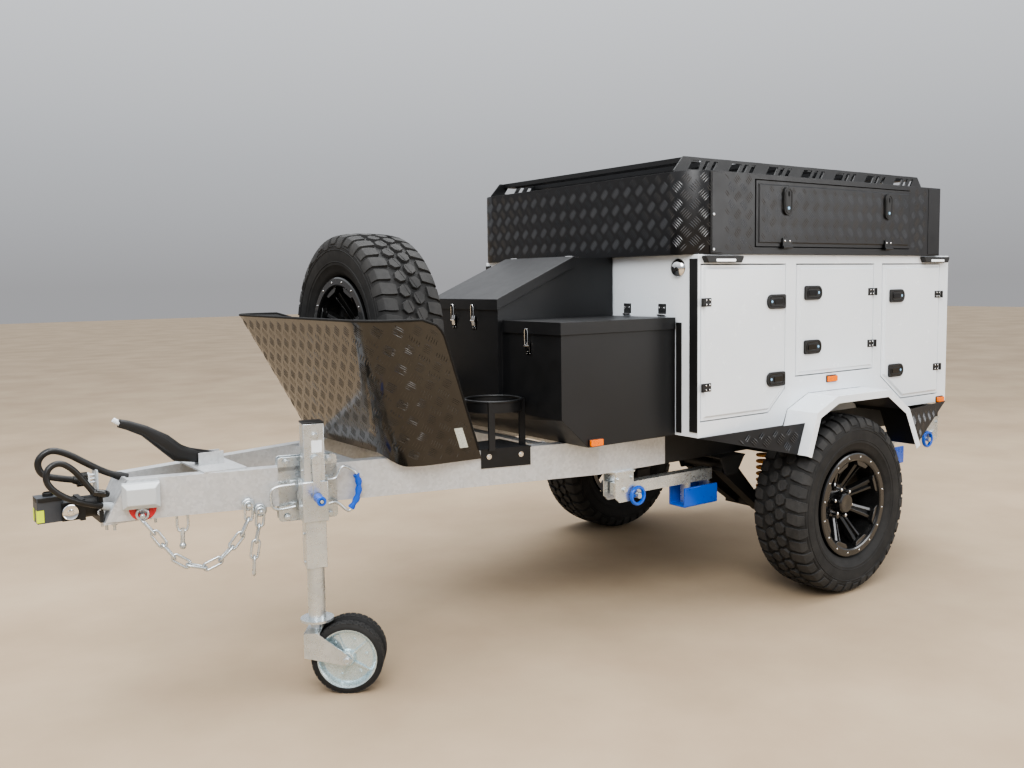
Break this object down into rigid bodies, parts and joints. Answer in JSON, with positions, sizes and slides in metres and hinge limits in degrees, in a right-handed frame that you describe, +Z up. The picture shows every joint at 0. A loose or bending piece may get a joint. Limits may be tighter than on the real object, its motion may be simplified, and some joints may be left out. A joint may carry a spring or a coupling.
{
  "type": "off-road camper trailer",
  "caption": "Single-axle off-road camper trailer: box body with locker doors, checker-plate top box, galvanised A-frame, front boxes, spare wheel, jockey stand.",
  "frame": {"origin": "on the ground under the middle of the overall length, on the centre plane", "axes": "+X to the rear, -Y to the left side, +Z up"},
  "size_m": [4.18, 1.794, 1.914],
  "materials": {
    "galvanised": "satin",
    "black_frame": "satin",
    "white_panel": "gloss",
    "black_satin": "satin",
    "checker_black": "gloss",
    "chrome": "gloss",
    "rim_black": "satin",
    "tyre": "matte",
    "spring_gold": "gloss",
    "zinc": "satin",
    "lever_black": "matte",
    "lens_white": "gloss",
    "lens_red": "gloss",
    "hitch_green": "satin"
  },
  "bodies": {
    "chassis": {"drawbar": "galvanised", "chassis_rails": "black_frame", "rear_bumper": "black_frame", "body_shell": "white_panel", "top_box": "checker_black", "roof_rack": "black_satin", "mudguards": "white_panel", "deflectors": "checker_black", "front_boxes": "black_satin", "lid_hardware": "chrome", "stone_guard": "checker_black", "bottle_holders": "galvanised", "rim_spare": "rim_black", "tyre_spare": "tyre", "spare_carrier": "black_satin", "suspension_arms": "black_frame", "coil_springs": "spring_gold", "stand_brackets": "zinc", "jockey_bracket": "zinc", "coupling_base": "galvanised", "camp_lamps": "lens_white", "tail_lamps": "lens_red"},
    "wheel_left": {"rim_left": "rim_black", "tyre_left": "tyre"},
    "door_left_front_body": {"door_left_front": "white_panel", "hardware_left_front": "chrome"},
    "door_left_middle_body": {"door_left_middle": "white_panel", "hardware_left_middle": "chrome"},
    "door_left_rear_body": {"door_left_rear": "white_panel", "hardware_left_rear": "chrome"},
    "top_door_left_body": {"top_door_left": "checker_black"},
    "lid_left_body": {"lid_left": "black_satin"},
    "stand_leg_left_front_body": {"stand_leg_left_front": "zinc"},
    "stand_leg_left_rear_body": {"stand_leg_left_rear": "zinc"},
    "wheel_right": {"rim_right": "rim_black", "tyre_right": "tyre"},
    "door_right_front_body": {"door_right_front": "white_panel", "hardware_right_front": "chrome"},
    "door_right_middle_body": {"door_right_middle": "white_panel", "hardware_right_middle": "chrome"},
    "door_right_rear_body": {"door_right_rear": "white_panel", "hardware_right_rear": "chrome"},
    "top_door_right_body": {"top_door_right": "checker_black"},
    "lid_right_body": {"lid_right": "black_satin"},
    "stand_leg_right_front_body": {"stand_leg_right_front": "zinc"},
    "stand_leg_right_rear_body": {"stand_leg_right_rear": "zinc"},
    "lid_middle_body": {"lid_middle": "black_satin"},
    "rear_hatch_body": {"rear_hatch": "white_panel"},
    "brake_lever_body": {"brake_lever": "lever_black"},
    "jockey_tube_body": {"jockey_tube": "zinc"},
    "jockey_inner_body": {"jockey_inner": "zinc"},
    "jockey_fork_body": {"jockey_fork": "zinc"},
    "jockey_wheels_body": {"jockey_wheels": "tyre"},
    "coupling_fork_body": {"coupling_fork": "galvanised"},
    "coupling_block_body": {"coupling_block": "hitch_green"}
  },
  "joints": [
    {"name": "wheel_left_spin", "type": "hinge", "parent": "chassis", "child": "wheel_left", "pos_m": [1.08, -0.755, 0.402], "axis": [0, 1, 0], "continuous": true},
    {"name": "door_left_front_swing", "type": "hinge", "parent": "chassis", "child": "door_left_front_body", "pos_m": [0.234, -0.753, 1.15], "axis": [0, 0, -1], "range_deg": [0, 110]},
    {"name": "door_left_middle_swing", "type": "hinge", "parent": "chassis", "child": "door_left_middle_body", "pos_m": [1.41, -0.753, 1.15], "axis": [0, 0, 1], "range_deg": [0, 110]},
    {"name": "door_left_rear_swing", "type": "hinge", "parent": "chassis", "child": "door_left_rear_body", "pos_m": [1.973, -0.753, 1.15], "axis": [0, 0, 1], "range_deg": [0, 110]},
    {"name": "top_door_left_drop", "type": "hinge", "parent": "chassis", "child": "top_door_left_body", "pos_m": [1.104, -0.77, 1.547], "axis": [1, 0, 0], "range_deg": [0, 90]},
    {"name": "lid_left_lift", "type": "hinge", "parent": "chassis", "child": "lid_left_body", "pos_m": [0.212, -0.44, 1.272], "axis": [0, 1, 0], "range_deg": [0, 75]},
    {"name": "stand_left_front_swing", "type": "hinge", "parent": "chassis", "child": "stand_leg_left_front_body", "pos_m": [0.01, -0.497, 0.562], "axis": [0, 1, 0], "range_deg": [0, 90]},
    {"name": "stand_left_rear_swing", "type": "hinge", "parent": "chassis", "child": "stand_leg_left_rear_body", "pos_m": [1.975, -0.68, 0.62], "axis": [0, -1, 0], "range_deg": [0, 90]},
    {"name": "wheel_right_spin", "type": "hinge", "parent": "chassis", "child": "wheel_right", "pos_m": [1.08, 0.755, 0.402], "axis": [0, 1, 0], "continuous": true},
    {"name": "door_right_front_swing", "type": "hinge", "parent": "chassis", "child": "door_right_front_body", "pos_m": [0.234, 0.753, 1.15], "axis": [0, 0, 1], "range_deg": [0, 110]},
    {"name": "door_right_middle_swing", "type": "hinge", "parent": "chassis", "child": "door_right_middle_body", "pos_m": [1.41, 0.753, 1.15], "axis": [0, 0, -1], "range_deg": [0, 110]},
    {"name": "door_right_rear_swing", "type": "hinge", "parent": "chassis", "child": "door_right_rear_body", "pos_m": [1.973, 0.753, 1.15], "axis": [0, 0, -1], "range_deg": [0, 110]},
    {"name": "top_door_right_drop", "type": "hinge", "parent": "chassis", "child": "top_door_right_body", "pos_m": [1.104, 0.77, 1.547], "axis": [-1, 0, 0], "range_deg": [0, 90]},
    {"name": "lid_right_lift", "type": "hinge", "parent": "chassis", "child": "lid_right_body", "pos_m": [0.212, 0.44, 1.272], "axis": [0, 1, 0], "range_deg": [0, 75]},
    {"name": "stand_right_front_swing", "type": "hinge", "parent": "chassis", "child": "stand_leg_right_front_body", "pos_m": [0.01, 0.497, 0.562], "axis": [0, 1, 0], "range_deg": [0, 90]},
    {"name": "stand_right_rear_swing", "type": "hinge", "parent": "chassis", "child": "stand_leg_right_rear_body", "pos_m": [1.975, 0.68, 0.62], "axis": [0, -1, 0], "range_deg": [0, 90]},
    {"name": "lid_middle_lift", "type": "hinge", "parent": "chassis", "child": "lid_middle_body", "pos_m": [0, 0, 1.527], "axis": [0, 1, 0], "range_deg": [0, 80]},
    {"name": "rear_hatch_lift", "type": "hinge", "parent": "chassis", "child": "rear_hatch_body", "pos_m": [2.063, 0, 1.479], "axis": [0, -1, 0], "range_deg": [0, 95]},
    {"name": "brake_lever_pull", "type": "hinge", "parent": "chassis", "child": "brake_lever_body", "pos_m": [-1.515, 0, 0.812], "axis": [0, 1, 0], "range_deg": [-5, 40]},
    {"name": "jockey_swing", "type": "hinge", "parent": "chassis", "child": "jockey_tube_body", "pos_m": [-1.269, -0.338, 0.675], "axis": [0.2442, 0.9697, 0], "range_deg": [0, 90]},
    {"name": "jockey_slide", "type": "slide", "parent": "jockey_tube_body", "child": "jockey_inner_body", "axis": [0, 0, 1], "range_m": [-0.15, 0.17]},
    {"name": "jockey_caster", "type": "hinge", "parent": "jockey_inner_body", "child": "jockey_fork_body", "pos_m": [-1.269, -0.338, 0.2], "axis": [0, 0, 1], "range_deg": [0, 360]},
    {"name": "jockey_wheels_spin", "type": "hinge", "parent": "jockey_fork_body", "child": "jockey_wheels_body", "pos_m": [-1.17889, -0.40109, 0.125], "axis": [0.5736, 0.8192, 0], "continuous": true},
    {"name": "coupling_roll", "type": "hinge", "parent": "chassis", "child": "coupling_fork_body", "pos_m": [-1.93, 0, 0.69], "axis": [1, 0, 0], "continuous": true},
    {"name": "coupling_pitch", "type": "hinge", "parent": "coupling_fork_body", "child": "coupling_block_body", "pos_m": [-1.996, 0, 0.69], "axis": [0, 1, 0], "range_deg": [-30, 30]}
  ]
}
